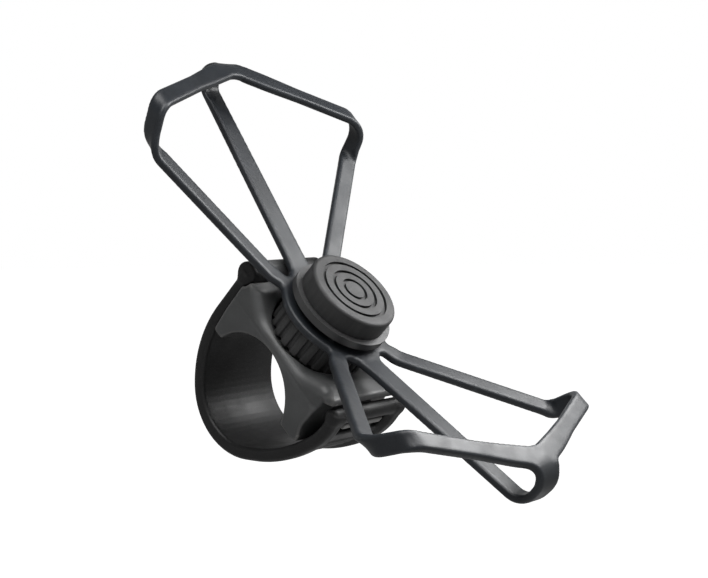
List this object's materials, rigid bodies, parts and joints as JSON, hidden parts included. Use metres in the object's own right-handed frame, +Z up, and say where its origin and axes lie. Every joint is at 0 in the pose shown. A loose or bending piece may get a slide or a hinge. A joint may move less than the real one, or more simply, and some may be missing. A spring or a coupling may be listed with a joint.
{
  "type": "handlebar phone mount",
  "caption": "Handlebar phone mount with a stretch-strap clamp, a rotating ribbed dial and a silicone harness that holds a phone by its four corners.",
  "frame": {"origin": "on the handlebar's axis, at the middle of the base", "axes": "+X along the handlebar, +Y forwards over the wheel, +Z up; the phone's back is tilted 45 degrees and faces up and back towards the rider"},
  "size_m": [0.0884, 0.1239, 0.1239],
  "materials": {
    "base_plastic": "dark grey glass-filled nylon, satin, fine mould texture",
    "head_plastic": "black nylon, satin",
    "dial_rubber": "matte black ribbed elastomer",
    "pad_rubber": "matte black soft rubber",
    "strap_rubber": "matte black elastomer with a fine speckle",
    "harness_silicone": "charcoal silicone with a soft cool sheen",
    "steel": "stainless steel",
    "spring_steel": "hardened spring steel",
    "brass": "knurled brass",
    "acetal": "white acetal"
  },
  "bodies": {
    "base": {"base_saddle": "base_plastic", "bar_pad": "pad_rubber", "strap_root": "strap_rubber", "strap_anchor_pin": "steel", "pivot_insert": "brass", "pivot_screw": "steel", "pivot_washer": "steel", "disc_spring": "spring_steel", "friction_ring": "acetal"},
    "head": {"turntable": "head_plastic", "dial_ring": "dial_rubber", "detent_balls": "spring_steel", "detent_springs": "spring_steel", "harness_hub": "harness_silicone", "clamp_plate": "head_plastic", "clamp_screws": "steel", "rest_pad": "pad_rubber"},
    "upper_yoke": {"upper_yoke": "harness_silicone"},
    "lower_yoke": {"lower_yoke": "harness_silicone"},
    "strap_tail": {"strap_tail": "strap_rubber"}
  },
  "joints": [
    {"name": "dial_turn", "type": "hinge", "parent": "base", "child": "head", "pos_m": [0, -0.01344, 0.01344], "axis": [0, -0.7071, 0.7071], "continuous": true},
    {"name": "upper_stretch", "type": "slide", "parent": "head", "child": "upper_yoke", "axis": [0, 0.7071, 0.7071], "range_m": [0, 0.015], "stiffness_N_per_m": 800},
    {"name": "lower_stretch", "type": "slide", "parent": "head", "child": "lower_yoke", "axis": [0, -0.7071, -0.7071], "range_m": [0, 0.015], "stiffness_N_per_m": 800},
    {"name": "strap_release", "type": "hinge", "parent": "base", "child": "strap_tail", "pos_m": [0, -0.01739, -0.01739], "axis": [1, 0, 0], "range_deg": [0, 95], "stiffness_Nm_per_rad": 0.05}
  ]
}
